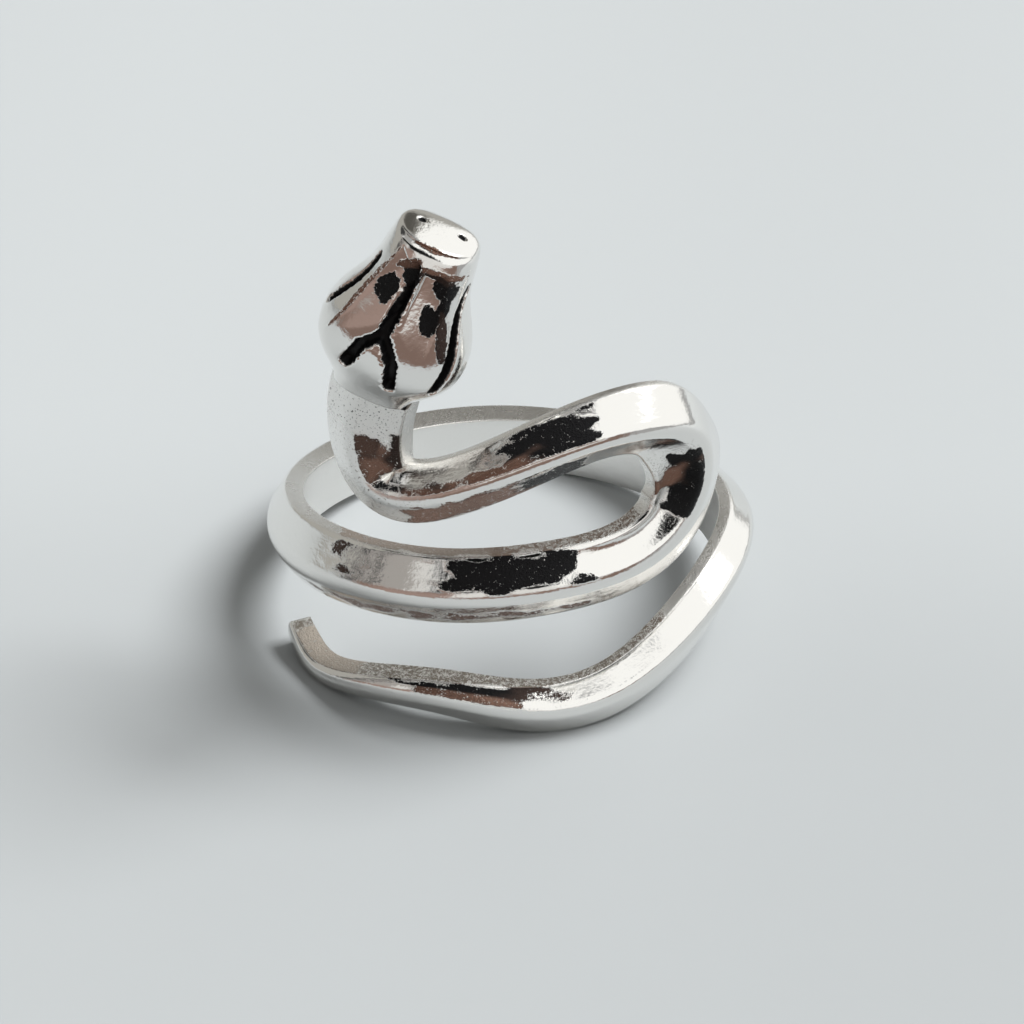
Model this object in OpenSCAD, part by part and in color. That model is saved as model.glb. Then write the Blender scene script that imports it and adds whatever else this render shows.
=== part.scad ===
// Snake wrap ring lying on its side. Lengths in mm, angles in degrees.
// The origin is on the finger axis at the height of the table, +Z runs along the finger,
// and -Y is the side that shows the head and the three bands.

/* [Coil] */
// bore across the inside of the ring
bore_d = 17.5; // [14:0.1:23]
// height of the top bend's middle line above the table
wrap_h = 15; // [12:0.1:20]
// width of the body over its plain turns
band_w = 3; // [2.4:0.05:3.6]
// thickness of the body at its spine
band_t = 1.6; // [1.2:0.05:2.2]
// half width of the rounded spine
spine_r = 0.28; // [0.1:0.01:0.35]
// bevel on the outer edges of the two rims
rim_bevel = 0.1; // [0.03:0.01:0.2]

/* [Head] */
// length of the head from the neck to the nose
head_l = 8.0; // [7:0.1:12]
// width across the jaws
head_w = 5.65; // [4.5:0.1:7.5]
// height of the crown above the jaw line
head_top = 1.9; // [1.4:0.05:2.6]
// depth of the underside below the jaw line
head_under = 1.5; // [1:0.05:2]
// lean of the head from the finger axis
head_lean = 19; // [0:1:30]
// turn of the crown away from the finger surface under it
head_turn = 19; // [0:1:35]
// how far the neck runs into the head
neck_in = 1.4; // [0.8:0.1:3]
// width of the cut lines on the crown
crown_cut_w = 0.5; // [0.3:0.05:0.7]
// depth of the cut lines on the crown
crown_cut_d = 0.42; // [0.2:0.02:0.6]
// width of the slit between the jaws
mouth_w = 0.42; // [0.2:0.02:0.6]
// depth of the slit between the jaws
mouth_d = 0.4; // [0.2:0.02:0.6]
// width of a nostril
nostril_d = 0.34; // [0.2:0.02:0.5]
// depth of the crown hollows at their front end
hollow_d = 0.8; // [0.3:0.05:1]
// width of the rounded wall round a hollow
hollow_wall = 0.45; // [0.3:0.05:0.9]

/* [Hidden] */
bore_r = bore_d / 2;
silver = [0.78, 0.78, 0.77];
steps_per_row = 5;
head_steps = 4;
fold_share = 0.95;
limit_power = 12;
// a turn gentler than this (in 1/mm) cannot fold the body
least_turn = 0.01;
// places of the left facet's inner points between its rim and the spine, and of the right one's
facet_low = 0.35;
facet_high = 0.65;
facet_middle = 0.5;
// share of the dish that the left facet's inner points take
dish_share = 0.8;
// drop of the spine's shoulders as a share of its half width
shoulder_drop = 0.35;
// power of the head's outline across: 1 is an ellipse, less is squarer
head_roundness = 0.8;
// a cut stays this share of the half width short of the widest point
widest_cut = 0.98;
// how sharply the slopes of a hollow melt into each other, and the least share of its depth
hollow_power = 4;
least_share = 0.001;
mouth_lean = sqrt(0.5);
crown_points = 38;
under_points = 14;
ball_facets = 10;
bore_facets = 120;

// Body from the tail tip to the neck, as control rows of a smooth curve:
// angle round the finger, height as a share of wrap_h, width as a share of band_w,
// place of the spine as a share of the half width (plus is to the left of the way to the head),
// thickness, left rim and right rim as shares of band_t,
// flare off the finger and dish of the left facet as shares of band_t
body = [
    [206.5, 0.050, 0.29, 0.00, 0.68, 0.60, 0.44, 0.21, 0.00],
    [212, 0.048, 0.29, 0.02, 0.74, 0.62, 0.56, 0.26, 0.00],
    [221, 0.015, 0.30, 0.10, 0.80, 0.64, 0.62, 0.32, 0.00],
    [238, 0.082, 0.42, 0.20, 0.84, 0.66, 0.58, 0.18, 0.00],
    [257, 0.120, 0.62, 0.30, 0.87, 0.56, 0.50, 0.07, 0.00],
    [278, 0.067, 0.77, 0.35, 0.91, 0.32, 0.46, 0.05, 0.00],
    [299, 0.084, 0.80, 0.42, 0.95, 0.30, 0.48, 0.05, 0.00],
    [320, 0.200, 0.91, 0.40, 1.00, 0.32, 0.55, 0.00, 0.00],
    [341, 0.280, 1.00, 0.38, 1.02, 0.34, 0.60, 0.00, 0.00],
    [366, 0.235, 1.00, 0.38, 1.00, 0.34, 0.60, 0.00, 0.00],
    [395, 0.160, 0.97, 0.36, 1.00, 0.46, 0.58, 0.00, 0.00],
    [425, 0.105, 0.95, 0.32, 1.00, 0.68, 0.52, 0.00, 0.00],
    [455, 0.085, 0.90, 0.27, 1.00, 0.80, 0.50, 0.00, 0.00],
    [485, 0.100, 0.84, 0.22, 1.00, 0.80, 0.50, 0.00, 0.00],
    [515, 0.150, 0.86, 0.15, 1.00, 0.68, 0.52, 0.00, 0.00],
    [543, 0.250, 0.92, -0.12, 1.00, 0.52, 0.56, 0.00, 0.00],
    [568, 0.335, 1.00, -0.20, 1.00, 0.42, 0.56, 0.00, 0.00],
    [593, 0.412, 1.03, -0.05, 1.00, 0.40, 0.54, 0.00, 0.00],
    [618, 0.467, 1.05, 0.05, 1.00, 0.40, 0.50, 0.00, 0.00],
    [641, 0.515, 1.07, 0.09, 1.00, 0.40, 0.46, 0.00, 0.05],
    [660, 0.527, 1.06, 0.12, 1.00, 0.46, 0.42, 0.00, 0.15],
    [675, 0.590, 1.32, 0.22, 1.00, 0.48, 0.40, 0.00, 0.30],
    [680, 0.702, 1.51, 0.15, 1.00, 0.46, 0.36, 0.00, 0.35],
    [678, 0.795, 1.15, -0.05, 1.00, 0.42, 0.32, 0.00, 0.30],
    [673, 0.887, 1.09, -0.36, 1.00, 0.40, 0.28, 0.00, 0.15],
    [665.5, 0.980, 1.01, 0.02, 1.00, 0.40, 0.24, 0.00, 0.05],
    [650, 0.992, 0.90, -0.12, 1.00, 0.40, 0.22, 0.00, 0.00],
    [633, 0.903, 0.82, -0.20, 1.00, 0.40, 0.22, 0.00, 0.00],
    [616, 0.783, 0.78, -0.18, 1.00, 0.42, 0.26, 0.00, 0.00],
    [603, 0.722, 0.86, -0.18, 1.04, 0.52, 0.34, 0.00, 0.00],
    [595, 0.752, 1.00, -0.12, 1.10, 0.64, 0.46, 0.00, 0.00],
    [593, 0.860, 1.06, 0.00, 1.18, 0.76, 0.58, 0.00, 0.00],
    [594, 0.970, 1.04, 0.05, 1.24, 0.86, 0.70, 0.02, 0.00],
    [597, 1.070, 1.00, 0.05, 1.30, 0.95, 0.82, 0.06, 0.00],
    [600.5, 1.165, 0.94, 0.05, 1.32, 0.95, 0.85, 0.12, 0.00]
];
ANGLE = 0;
HEIGHT = 1;
WIDTH = 2;
SPINE = 3;
THICK = 4;
RIM_LEFT = 5;
RIM_RIGHT = 6;
FLARE = 7;
DISH = 8;

// Head from the neck to the nose, as control rows: place as a share of head_l, half width as
// a share of head_w / 2, crown as a share of head_top, underside as a share of head_under
head = [
    [0.000, 0.52, 0.40, 0.80],
    [0.070, 0.60, 0.52, 0.95],
    [0.150, 0.83, 0.72, 1.00],
    [0.240, 0.99, 0.90, 1.00],
    [0.350, 1.045, 1.00, 1.00],
    [0.460, 0.99, 1.03, 1.00],
    [0.570, 0.85, 1.00, 0.95],
    [0.670, 0.71, 0.95, 0.90],
    [0.760, 0.65, 0.91, 0.85],
    [0.850, 0.62, 0.905, 0.78],
    [0.915, 0.59, 0.82, 0.74],
    [0.960, 0.56, 0.79, 0.72],
    [0.977, 0.52, 0.63, 0.70],
    [0.989, 0.48, 0.75, 0.58],
    [1.000, 0.30, 0.50, 0.28],
    [1.000, 0.00, 0.00, 0.00]
];

// Crown hollows: places along head_l of their corners and across as shares of head_w / 2, and
// how many wall widths the slope from the edge that starts there runs down to the full depth
hollows = [
    [
        [0.56, -0.17, 10],
        [0.45, -0.50, 10],
        [0.365, -0.84, 3],
        [0.935, -0.37, 0.5],
        [0.86, -0.12, 0.3]
    ],
    [
        [0.87, 0.02, 0.5],
        [0.89, 0.46, 2],
        [0.67, 0.48, 2],
        [0.42, 0.64, 10],
        [0.41, 0.36, 6],
        [0.54, 0.01, 0.3]
    ],
    [
        [0.43, -0.15, 1],
        [0.35, -0.02, 5],
        [0.38, -0.22, 1]
    ]
];
RUN = 2;

// Cut lines of the crown: stem first, then the two branches, as places along and across
crown_stem = [[0.870, -0.12], [0.720, -0.10], [0.600, -0.12], [0.480, -0.14]];
crown_branches = [
    [[0.480, -0.14], [0.380, -0.36], [0.220, -0.46]],
    [[0.480, -0.14], [0.340, 0.12], [0.180, 0.21]]
];

// Slits between the jaws, left and right: place along, and place across as a share of the half
// width there
mouth_lines = [
    [[0.790, -0.94], [0.710, -0.95], [0.620, -0.95], [0.520, -0.96], [0.440, -0.98]],
    [[0.800, 0.97], [0.710, 0.92], [0.610, 0.87], [0.500, 0.83], [0.400, 0.80], [0.310, 0.78],
        [0.240, 0.79]]
];
nostril_at = [1.000, 0.28];

function padded(rows) = let (last = len(rows) - 1)
    concat([2 * rows[0] - rows[1]], rows, [2 * rows[last] - rows[last - 1]]);

function curve_at(p, k, t) =
    (pow(1 - t, 3) * p[k] + (3 * pow(t, 3) - 6 * t * t + 4) * p[k + 1]
    + (-3 * pow(t, 3) + 3 * t * t + 3 * t + 1) * p[k + 2] + pow(t, 3) * p[k + 3]) / 6;

function curve_slope(p, k, t) =
    (-pow(1 - t, 2) * p[k] + (3 * t * t - 4 * t) * p[k + 1]
    + (-3 * t * t + 2 * t + 1) * p[k + 2] + t * t * p[k + 3]) / 2;

function curve_bend(p, k, t) =
    (1 - t) * (p[k] - 2 * p[k + 1] + p[k + 2]) + t * (p[k + 1] - 2 * p[k + 2] + p[k + 3]);

function along_rows(rows, steps) = [
    for (k = [0 : len(rows) - 2], j = [0 : steps - 1]) [k, j / steps],
    [len(rows) - 2, 1]
];

// Station of the body: its row of shares, the unit direction of travel on the unrolled finger,
// and how far the body may reach to the left and right before a tight turn would fold it
body_pad = padded(body);
function unrolled(row) = [row[ANGLE] * PI / 180 * bore_r, row[HEIGHT] * wrap_h];
function soft_least(a, b) =
    pow(pow(a, -limit_power) + pow(b, -limit_power), -1 / limit_power);
function station_at(k, t) = let (
        row = curve_at(body_pad, k, t),
        slope = unrolled(curve_slope(body_pad, k, t)),
        bend = unrolled(curve_bend(body_pad, k, t)),
        turn = cross(slope, bend) / pow(norm(slope), 3),
        half = row[WIDTH] * band_w / 2,
        inner = soft_least(half, fold_share / max(abs(turn), least_turn))
    ) [row, slope / norm(slope), turn > 0 ? inner : half, turn > 0 ? half : inner];
stations = [for (q = along_rows(body, steps_per_row)) station_at(q[0], q[1])];

// Point that lies "across" to the left of the way and "out" from the finger
function on_finger(station, across, out) = let (
        row = station[0],
        way = station[1],
        angle = row[ANGLE] - across * way[1] / bore_r * 180 / PI,
        radius = bore_r + row[FLARE] * band_t + out
    ) [radius * cos(angle), radius * sin(angle), row[HEIGHT] * wrap_h + across * way[0]];

function mix(a, b, share) = a + (b - a) * share;

// Section of the body as [across, out], from the left foot over the spine to the right foot and
// back to the middle of the inner face
function body_section(station) = let (
        row = station[0],
        reach_left = station[2],
        reach_right = station[3],
        top = row[THICK] * band_t,
        left = row[RIM_LEFT] * band_t,
        right = row[RIM_RIGHT] * band_t,
        spine = row[SPINE] * row[WIDTH] * band_w / 2,
        dish = row[DISH] * band_t * dish_share,
        shoulder = top - spine_r * shoulder_drop
    ) [
        [reach_left, 0],
        [reach_left, left - rim_bevel],
        [reach_left - rim_bevel, left],
        [mix(reach_left, spine, facet_low), mix(left, top, facet_low) - dish],
        [mix(reach_left, spine, facet_high), mix(left, top, facet_high) - dish],
        [spine + spine_r, shoulder],
        [spine, top],
        [spine - spine_r, shoulder],
        [mix(-reach_right, spine, facet_middle), mix(right, top, facet_middle)],
        [rim_bevel - reach_right, right],
        [-reach_right, right - rim_bevel],
        [-reach_right, 0],
        [(reach_left - reach_right) / 2, 0]
    ];

// Closed skin over rings of equal length, with a fan at each end
module skin(rings) {
    n = len(rings[0]);
    last = len(rings) - 1;
    points = concat([for (ring = rings, p = ring) p], [centre_of(rings[0]), centre_of(rings[last])]);
    sides = [
        for (i = [0 : last - 1], j = [0 : n - 1])
            let (a = i * n + j, b = i * n + (j + 1) % n)
                each [[a, b + n, b], [a, a + n, b + n]]
    ];
    start = [for (j = [0 : n - 1]) [(last + 1) * n, j, (j + 1) % n]];
    finish = [for (j = [0 : n - 1]) [(last + 1) * n + 1, last * n + (j + 1) % n, last * n + j]];
    polyhedron(points, concat(sides, start, finish), convexity = 10);
}

function centre_of(ring) = let (n = len(ring)) [for (p = ring) 1] * ring / n;

module coiled_body() {
    skin([for (s = stations) [for (q = body_section(s)) on_finger(s, q[0], q[1])]]);
}

// Depth of the crown hollows at a place: their sloping walls and floors melt into each other
function head_place(along, across) = [along * head_l, across * head_w / 2];
function edge_share(here, after, place) = let (
        corner = head_place(here[0], here[1]),
        edge = head_place(after[0], after[1]) - corner,
        inside = cross(edge, place - corner) / norm(edge)
    ) max(least_share, inside / (here[RUN] * hollow_wall));
function hollow_depth(corners, place) = let (
        total = [
            for (i = [0 : len(corners) - 1])
                pow(edge_share(corners[i], corners[(i + 1) % len(corners)], place), -hollow_power)
        ]
    ) hollow_d * pow(1 + total * [for (t = total) 1], -1 / hollow_power);
function hollow_at(along, across) =
    max([for (corners = hollows) hollow_depth(corners, head_place(along, across))]);

// Ring of head points at one row, in the head's own axes: x across, y towards the nose, z crown
function rounded(v, power) = sign(v) * pow(abs(v), power);
head_turns = concat(
    [for (j = [0 : under_points - 1]) -180 * j / under_points],
    [for (j = [0 : crown_points - 1]) -180 - 180 * j / crown_points]
);
function head_ring(row) = [
    for (turn = head_turns) let (
            x = row[1] * head_w / 2 * rounded(cos(turn), head_roundness),
            lift = rounded(sin(turn), head_roundness),
            height = lift > 0 ? row[2] * head_top : row[3] * head_under,
            dent = lift > 0 ? hollow_at(row[0], x / (head_w / 2)) : 0
        ) [x, row[0] * head_l, lift * height - dent]
];

head_pad = padded(head);
head_rows = [for (q = along_rows(head, head_steps)) curve_at(head_pad, q[0], q[1])];

// Row of the head nearest to a place along it
function head_row_at(along) = let (
        gaps = [for (r = head_rows) abs(r[0] - along)],
        best = search(min(gaps), gaps)[0]
    ) head_rows[best];

function crown_height(along, across) = let (
        row = head_row_at(along),
        side = min(widest_cut, abs(across) / row[1]),
        lift = pow(1 - pow(side, 2 / head_roundness), head_roundness / 2)
    ) row[2] * head_top * lift - hollow_at(along, across);

// Each place of a cut has a point on the skin and the centre of the cut's round bottom
function crown_cut(p) = let (
        x = p[1] * head_w / 2,
        y = p[0] * head_l,
        z = crown_height(p[0], p[1])
    ) [[x, y, z], [x, y, z - crown_cut_d + crown_cut_w / 2]];

function mouth_cut(p) = let (
        across = p[1] * head_row_at(p[0])[1],
        x = across * head_w / 2,
        y = p[0] * head_l,
        z = crown_height(p[0], across),
        sunk = (mouth_d - mouth_w / 2) * mouth_lean
    ) [[x, y, z], [x - sign(x) * sunk, y, z - sunk]];

module bead(at, d) {
    translate(at)
        sphere(d = d, $fn = ball_facets);
}

module cut_line(places, d) {
    for (i = [0 : len(places) - 2])
        hull()
            for (at = concat(places[i], places[i + 1]))
                bead(at, d);
}

module head_solid() {
    difference() {
        skin([for (row = head_rows) head_ring(row)]);
        cut_line([for (p = crown_stem) crown_cut(p)], crown_cut_w);
        for (branch = crown_branches)
            cut_line([for (p = branch) crown_cut(p)], crown_cut_w);
        for (line = mouth_lines)
            cut_line([for (p = line) mouth_cut(p)], mouth_w);
        for (side = [-1, 1])
            bead(
                [side * nostril_at[1] * head_w / 2, nostril_at[0] * head_l,
                    crown_height(nostril_at[0], nostril_at[1])],
                nostril_d
            );
    }
}

// Where the neck ends, the head starts: its jaw line is head_under off the finger
neck_end = stations[len(stations) - 1];
neck_angle = neck_end[0][ANGLE];
neck_height = neck_end[0][HEIGHT] * wrap_h;
module placed_head() {
    difference() {
        rotate([0, 0, neck_angle])
            translate([bore_r + head_under, 0, neck_height])
                rotate([0, 0, head_turn])
                    rotate([-head_lean, 0, 0])
                        rotate([90, 0, 90])
                            translate([0, -neck_in, 0])
                                head_solid();
        // the underside follows the finger
        cylinder(h = neck_height + head_l, r = bore_r, $fn = bore_facets);
    }
}

module snake_ring() {
    color(silver)
        union() {
            coiled_body();
            placed_head();
        }
}

snake_ring();
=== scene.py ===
"""Snake wrap ring on a pale table: the fine silver casting, its finish and the studio round it."""
import math

import bpy
import numpy as np
from bpy.props import FloatProperty, FloatVectorProperty, PointerProperty
from mathutils import Matrix, Vector, kdtree, noise
from mathutils.bvhtree import BVHTree


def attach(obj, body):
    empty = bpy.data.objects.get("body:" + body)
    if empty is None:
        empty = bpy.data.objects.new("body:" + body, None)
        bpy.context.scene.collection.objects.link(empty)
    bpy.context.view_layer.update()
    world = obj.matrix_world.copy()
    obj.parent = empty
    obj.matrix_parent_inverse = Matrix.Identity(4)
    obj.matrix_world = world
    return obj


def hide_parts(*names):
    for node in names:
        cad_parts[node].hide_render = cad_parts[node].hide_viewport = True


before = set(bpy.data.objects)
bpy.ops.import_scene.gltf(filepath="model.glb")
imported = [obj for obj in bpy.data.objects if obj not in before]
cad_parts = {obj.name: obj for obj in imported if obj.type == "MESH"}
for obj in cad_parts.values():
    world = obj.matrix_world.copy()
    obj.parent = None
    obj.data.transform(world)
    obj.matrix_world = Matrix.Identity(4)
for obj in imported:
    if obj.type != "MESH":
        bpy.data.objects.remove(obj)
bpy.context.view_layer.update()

bl_info = {
    "name": "Snake wrap ring",
    "version": (1, 0, 0),
    "blender": (4, 5, 0),
    "location": "3D View > Sidebar > Snake Ring",
    "description": "Builds a cast silver snake ring and the table that it lies on",
    "category": "Object",
}

MM = 0.001
NODE = "snake_ring"

# Guard against division by nothing
TINY = 1e-15

# What each point of the skin carries for the silver, beside its place in mm: casting grain, matte
# skin, pits, how much patina and painted dark reflection covers it and how brown that is, and the
# black of the cuts
LAYERS = ("grain", "matte", "pits", "patina", "brown", "oxide")

# Body from the tail tip to the neck, as control rows of a smooth curve: angle round the finger,
# height as a share of the wrap height, width as a share of the band width, place of the spine as
# a share of the half width (plus is to the left of the way to the head), thickness, left rim and
# right rim as shares of the band thickness, flare off the finger and dish of the left facet as
# shares of the band thickness
BODY = np.array([
    [206.5, 0.050, 0.29, 0.00, 0.68, 0.60, 0.44, 0.21, 0.00],
    [212, 0.048, 0.29, 0.02, 0.74, 0.62, 0.56, 0.26, 0.00],
    [221, 0.015, 0.30, 0.10, 0.80, 0.64, 0.62, 0.32, 0.00],
    [238, 0.082, 0.42, 0.20, 0.84, 0.66, 0.58, 0.18, 0.00],
    [257, 0.120, 0.62, 0.30, 0.87, 0.56, 0.50, 0.07, 0.00],
    [278, 0.067, 0.77, 0.35, 0.91, 0.32, 0.46, 0.05, 0.00],
    [299, 0.084, 0.80, 0.42, 0.95, 0.30, 0.48, 0.05, 0.00],
    [320, 0.200, 0.91, 0.40, 1.00, 0.32, 0.55, 0.00, 0.00],
    [341, 0.280, 1.00, 0.38, 1.02, 0.34, 0.60, 0.00, 0.00],
    [366, 0.235, 1.00, 0.38, 1.00, 0.34, 0.60, 0.00, 0.00],
    [395, 0.160, 0.97, 0.36, 1.00, 0.46, 0.58, 0.00, 0.00],
    [425, 0.105, 0.95, 0.32, 1.00, 0.68, 0.52, 0.00, 0.00],
    [455, 0.085, 0.90, 0.27, 1.00, 0.80, 0.50, 0.00, 0.00],
    [485, 0.100, 0.84, 0.22, 1.00, 0.80, 0.50, 0.00, 0.00],
    [515, 0.150, 0.86, 0.15, 1.00, 0.68, 0.52, 0.00, 0.00],
    [543, 0.250, 0.92, -0.12, 1.00, 0.52, 0.56, 0.00, 0.00],
    [568, 0.335, 1.00, -0.20, 1.00, 0.42, 0.56, 0.00, 0.00],
    [593, 0.412, 1.03, -0.05, 1.00, 0.40, 0.54, 0.00, 0.00],
    [618, 0.467, 1.05, 0.05, 1.00, 0.40, 0.50, 0.00, 0.00],
    [641, 0.515, 1.07, 0.09, 1.00, 0.40, 0.46, 0.00, 0.05],
    [660, 0.527, 1.06, 0.12, 1.00, 0.46, 0.42, 0.00, 0.15],
    [675, 0.590, 1.32, 0.22, 1.00, 0.48, 0.40, 0.00, 0.30],
    [680, 0.702, 1.51, 0.15, 1.00, 0.46, 0.36, 0.00, 0.35],
    [678, 0.795, 1.15, -0.05, 1.00, 0.42, 0.32, 0.00, 0.30],
    [673, 0.887, 1.09, -0.36, 1.00, 0.40, 0.28, 0.00, 0.15],
    [665.5, 0.980, 1.01, 0.02, 1.00, 0.40, 0.24, 0.00, 0.05],
    [650, 0.992, 0.90, -0.12, 1.00, 0.40, 0.22, 0.00, 0.00],
    [633, 0.903, 0.82, -0.20, 1.00, 0.40, 0.22, 0.00, 0.00],
    [616, 0.783, 0.78, -0.18, 1.00, 0.42, 0.26, 0.00, 0.00],
    [603, 0.722, 0.86, -0.18, 1.04, 0.52, 0.34, 0.00, 0.00],
    [595, 0.752, 1.00, -0.12, 1.10, 0.64, 0.46, 0.00, 0.00],
    [593, 0.860, 1.06, 0.00, 1.18, 0.76, 0.58, 0.00, 0.00],
    [594, 0.970, 1.04, 0.05, 1.24, 0.86, 0.70, 0.02, 0.00],
    [597, 1.070, 1.00, 0.05, 1.30, 0.95, 0.82, 0.06, 0.00],
    [600.5, 1.165, 0.94, 0.05, 1.32, 0.95, 0.85, 0.12, 0.00],
])
ANGLE, HEIGHT, WIDTH, SPINE, THICK, RIM_LEFT, RIM_RIGHT, FLARE, DISH = range(9)
BODY_STEPS = 18

# Inside a bend the body reaches no farther than this share of the bend's radius. The power makes
# the limit a soft one, and a bend counts as no straighter than this turn in one per metre
FOLD_SHARE = 0.95
LIMIT_POWER = 12
STRAIGHTEST_TURN = 10.0

# Ridge as shares of the spine radius: half width of its flat top, how far its edges lie below
# the spine and how round they are. Then the most of a flat that one rounded corner may take, and
# the depth of a dished flat for a dish of one
RIDGE_HALF = 0.8
RIDGE_DROP = 0.25
RIDGE_ROUND = 0.7
MOST_ROUNDED = 0.45
DISH_DEPTH = 3.4

# Points on each rounded corner and each flat of the section, from the left foot over the spine
# to the right foot and back along the inner face
CORNER_POINTS = (4, 5, 4, 4, 5, 4)
FLAT_POINTS = (3, 14, 1, 12, 3, 7)
WALL_LEFT, FACET_LEFT, RIDGE, FACET_RIGHT, WALL_RIGHT, INNER = range(6)

# Patches of patina and painted dark reflection on the body. The black ones on the facets and on
# the front of the middle band's top rim are painted reflections of dark surroundings, some brown
# ones are painted brown reflection, and the mottle on the tail's rim is casting skin. The flat,
# from and to which control row of the body, from and to which share of the flat on the way from
# its left to its right edge, then how much of the patch is covered and how brown it is
BODY_PATINA_AND_DARK_REFLECTIONS = (
    (FACET_RIGHT, 26.05, 27.20, 0.05, 0.85, 1.35, 0.0),
    (FACET_RIGHT, 26.90, 28.70, -0.10, 0.22, 0.80, 0.9),
    (FACET_RIGHT, 28.00, 29.80, 0.15, 0.30, 0.60, 0.0),
    (FACET_LEFT, 26.30, 27.30, 0.05, 0.80, 0.90, 0.0),
    (FACET_LEFT, 27.20, 28.90, 0.05, 0.95, 0.80, 1.0),
    (FACET_LEFT, 17.95, 19.35, 0.12, 0.88, 1.35, 0.0),
    (FACET_LEFT, 16.78, 16.98, 0.15, 0.85, 0.85, 0.2),
    (FACET_RIGHT, 16.20, 19.40, 0.45, 0.75, 0.60, 0.6),
    (FACET_LEFT, 21.35, 23.80, 0.55, 1.20, 1.30, 0.0),
    (FACET_LEFT, 22.60, 23.25, 0.05, 0.70, 1.00, 0.9),
    (FACET_LEFT, 3.60, 4.80, 0.55, 1.20, 0.75, 0.8),
    (FACET_LEFT, 3.40, 4.90, 0.05, 0.55, 1.35, 0.0),
    (FACET_LEFT, 4.70, 5.40, 0.10, 0.80, 0.42, 0.1),
    (FACET_RIGHT, 30.10, 31.50, -0.10, 0.80, 0.85, 0.65),
    (FACET_RIGHT, 30.90, 31.60, -0.20, 0.50, 0.80, 0.3),
    (FACET_RIGHT, 30.30, 31.90, 0.75, 1.20, 1.20, 0.1),
    (WALL_LEFT, 16.60, 18.60, 0.00, 1.00, 0.70, 0.2),
    (WALL_LEFT, 18.40, 20.60, 0.00, 1.00, 0.42, 0.8),
    (WALL_LEFT, 0.00, 7.00, -0.20, 1.20, 0.44, 0.8),
    (WALL_LEFT, 0.60, 2.80, -0.20, 1.20, 0.85, 0.3),
)
PATCH_SOFT_ROWS = 0.3
PATCH_SOFT_SHARE = 0.35

# Uneven edges of the patches: how far they wander, the size of the wander and its seed, how the
# body's are drawn out along it, and the range over which the patches fade in
BODY_EDGE = (0.9, 0.4 * MM, 2.3)
BODY_EDGE_STRETCH = 0.45
HEAD_EDGES = ((0.25, 0.3 * MM, 4.1), (0.25, 0.12 * MM, 5.2))
BODY_FADE = (-0.5, 0.5)
HEAD_FADE = (1.25, 0.8)

# Casting skin by control rows of the body: where the tail's coarse rims end, the middle and half
# length of the matte bend and of the pitted stretch below the neck, and where the matte neck
# starts. Then the grain of the plain rims and how matte the neck and the inner face are
TAIL_ROWS = (6.0, 8.0)
BEND_ROWS = (22.6, 2.2)
ROOT_ROWS = (29.6, 1.6)
NECK_ROWS = (30.5, 32.0)
RIM_GRAIN = 0.6
MATTE_SKIN = 0.8

# Head from the neck to the nose: place as a share of the head's length, half width as a share of
# half the head's width, crown as a share of the crown height, underside as a share of its depth
HEAD = np.array([
    [0.000, 0.52, 0.40, 0.80],
    [0.070, 0.60, 0.52, 0.95],
    [0.150, 0.83, 0.72, 1.00],
    [0.240, 0.99, 0.90, 1.00],
    [0.350, 1.045, 1.00, 1.00],
    [0.460, 0.99, 1.03, 1.00],
    [0.570, 0.85, 1.00, 0.95],
    [0.670, 0.71, 0.95, 0.90],
    [0.760, 0.65, 0.91, 0.85],
    [0.850, 0.62, 0.905, 0.78],
    [0.915, 0.59, 0.82, 0.74],
    [0.955, 0.565, 0.79, 0.72],
    [0.972, 0.53, 0.63, 0.69],
    [0.982, 0.48, 0.74, 0.57],
    [0.998, 0.29, 0.48, 0.27],
    [1.000, 0.00, 0.00, 0.00],
])
PLACE, HALF_WIDTH, CROWN, UNDERSIDE = range(4)

# Steps from each head row to the next, points over the crown and under it, and how round the
# section is. Then how many rows a place is looked up in, and how near the edge a cut can lie
HEAD_STEPS = (13, 13, 13, 13, 13, 13, 13, 13, 12, 10, 8, 8, 8, 9, 10)
CROWN_POINTS = 150
UNDER_POINTS = 60
HEAD_ROUNDNESS = 0.8
HEAD_LOOKUPS = 400
WIDEST_CUT = 0.98
LEAST_HALF_WIDTH = 0.01

# Crown hollows: places along and across the head of their corners, and how many wall widths the
# slope from the edge that starts there runs down to the full depth
HOLLOWS = tuple(np.array(corners) for corners in (
    (
        [0.56, -0.17, 10],
        [0.45, -0.50, 10],
        [0.365, -0.84, 3],
        [0.935, -0.37, 0.5],
        [0.86, -0.12, 0.3],
    ),
    (
        [0.87, 0.02, 0.5],
        [0.89, 0.46, 2],
        [0.67, 0.48, 2],
        [0.42, 0.64, 10],
        [0.41, 0.36, 6],
        [0.54, 0.01, 0.3],
    ),
    (
        [0.43, -0.15, 1],
        [0.35, -0.02, 5],
        [0.38, -0.22, 1],
    ),
))
ALONG, ACROSS, RUN = range(3)

# How sharply the walls and floors of a hollow meet, and a guard against division by nothing
HOLLOW_POWER = 4
LEAST_SHARE = 0.001

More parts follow.
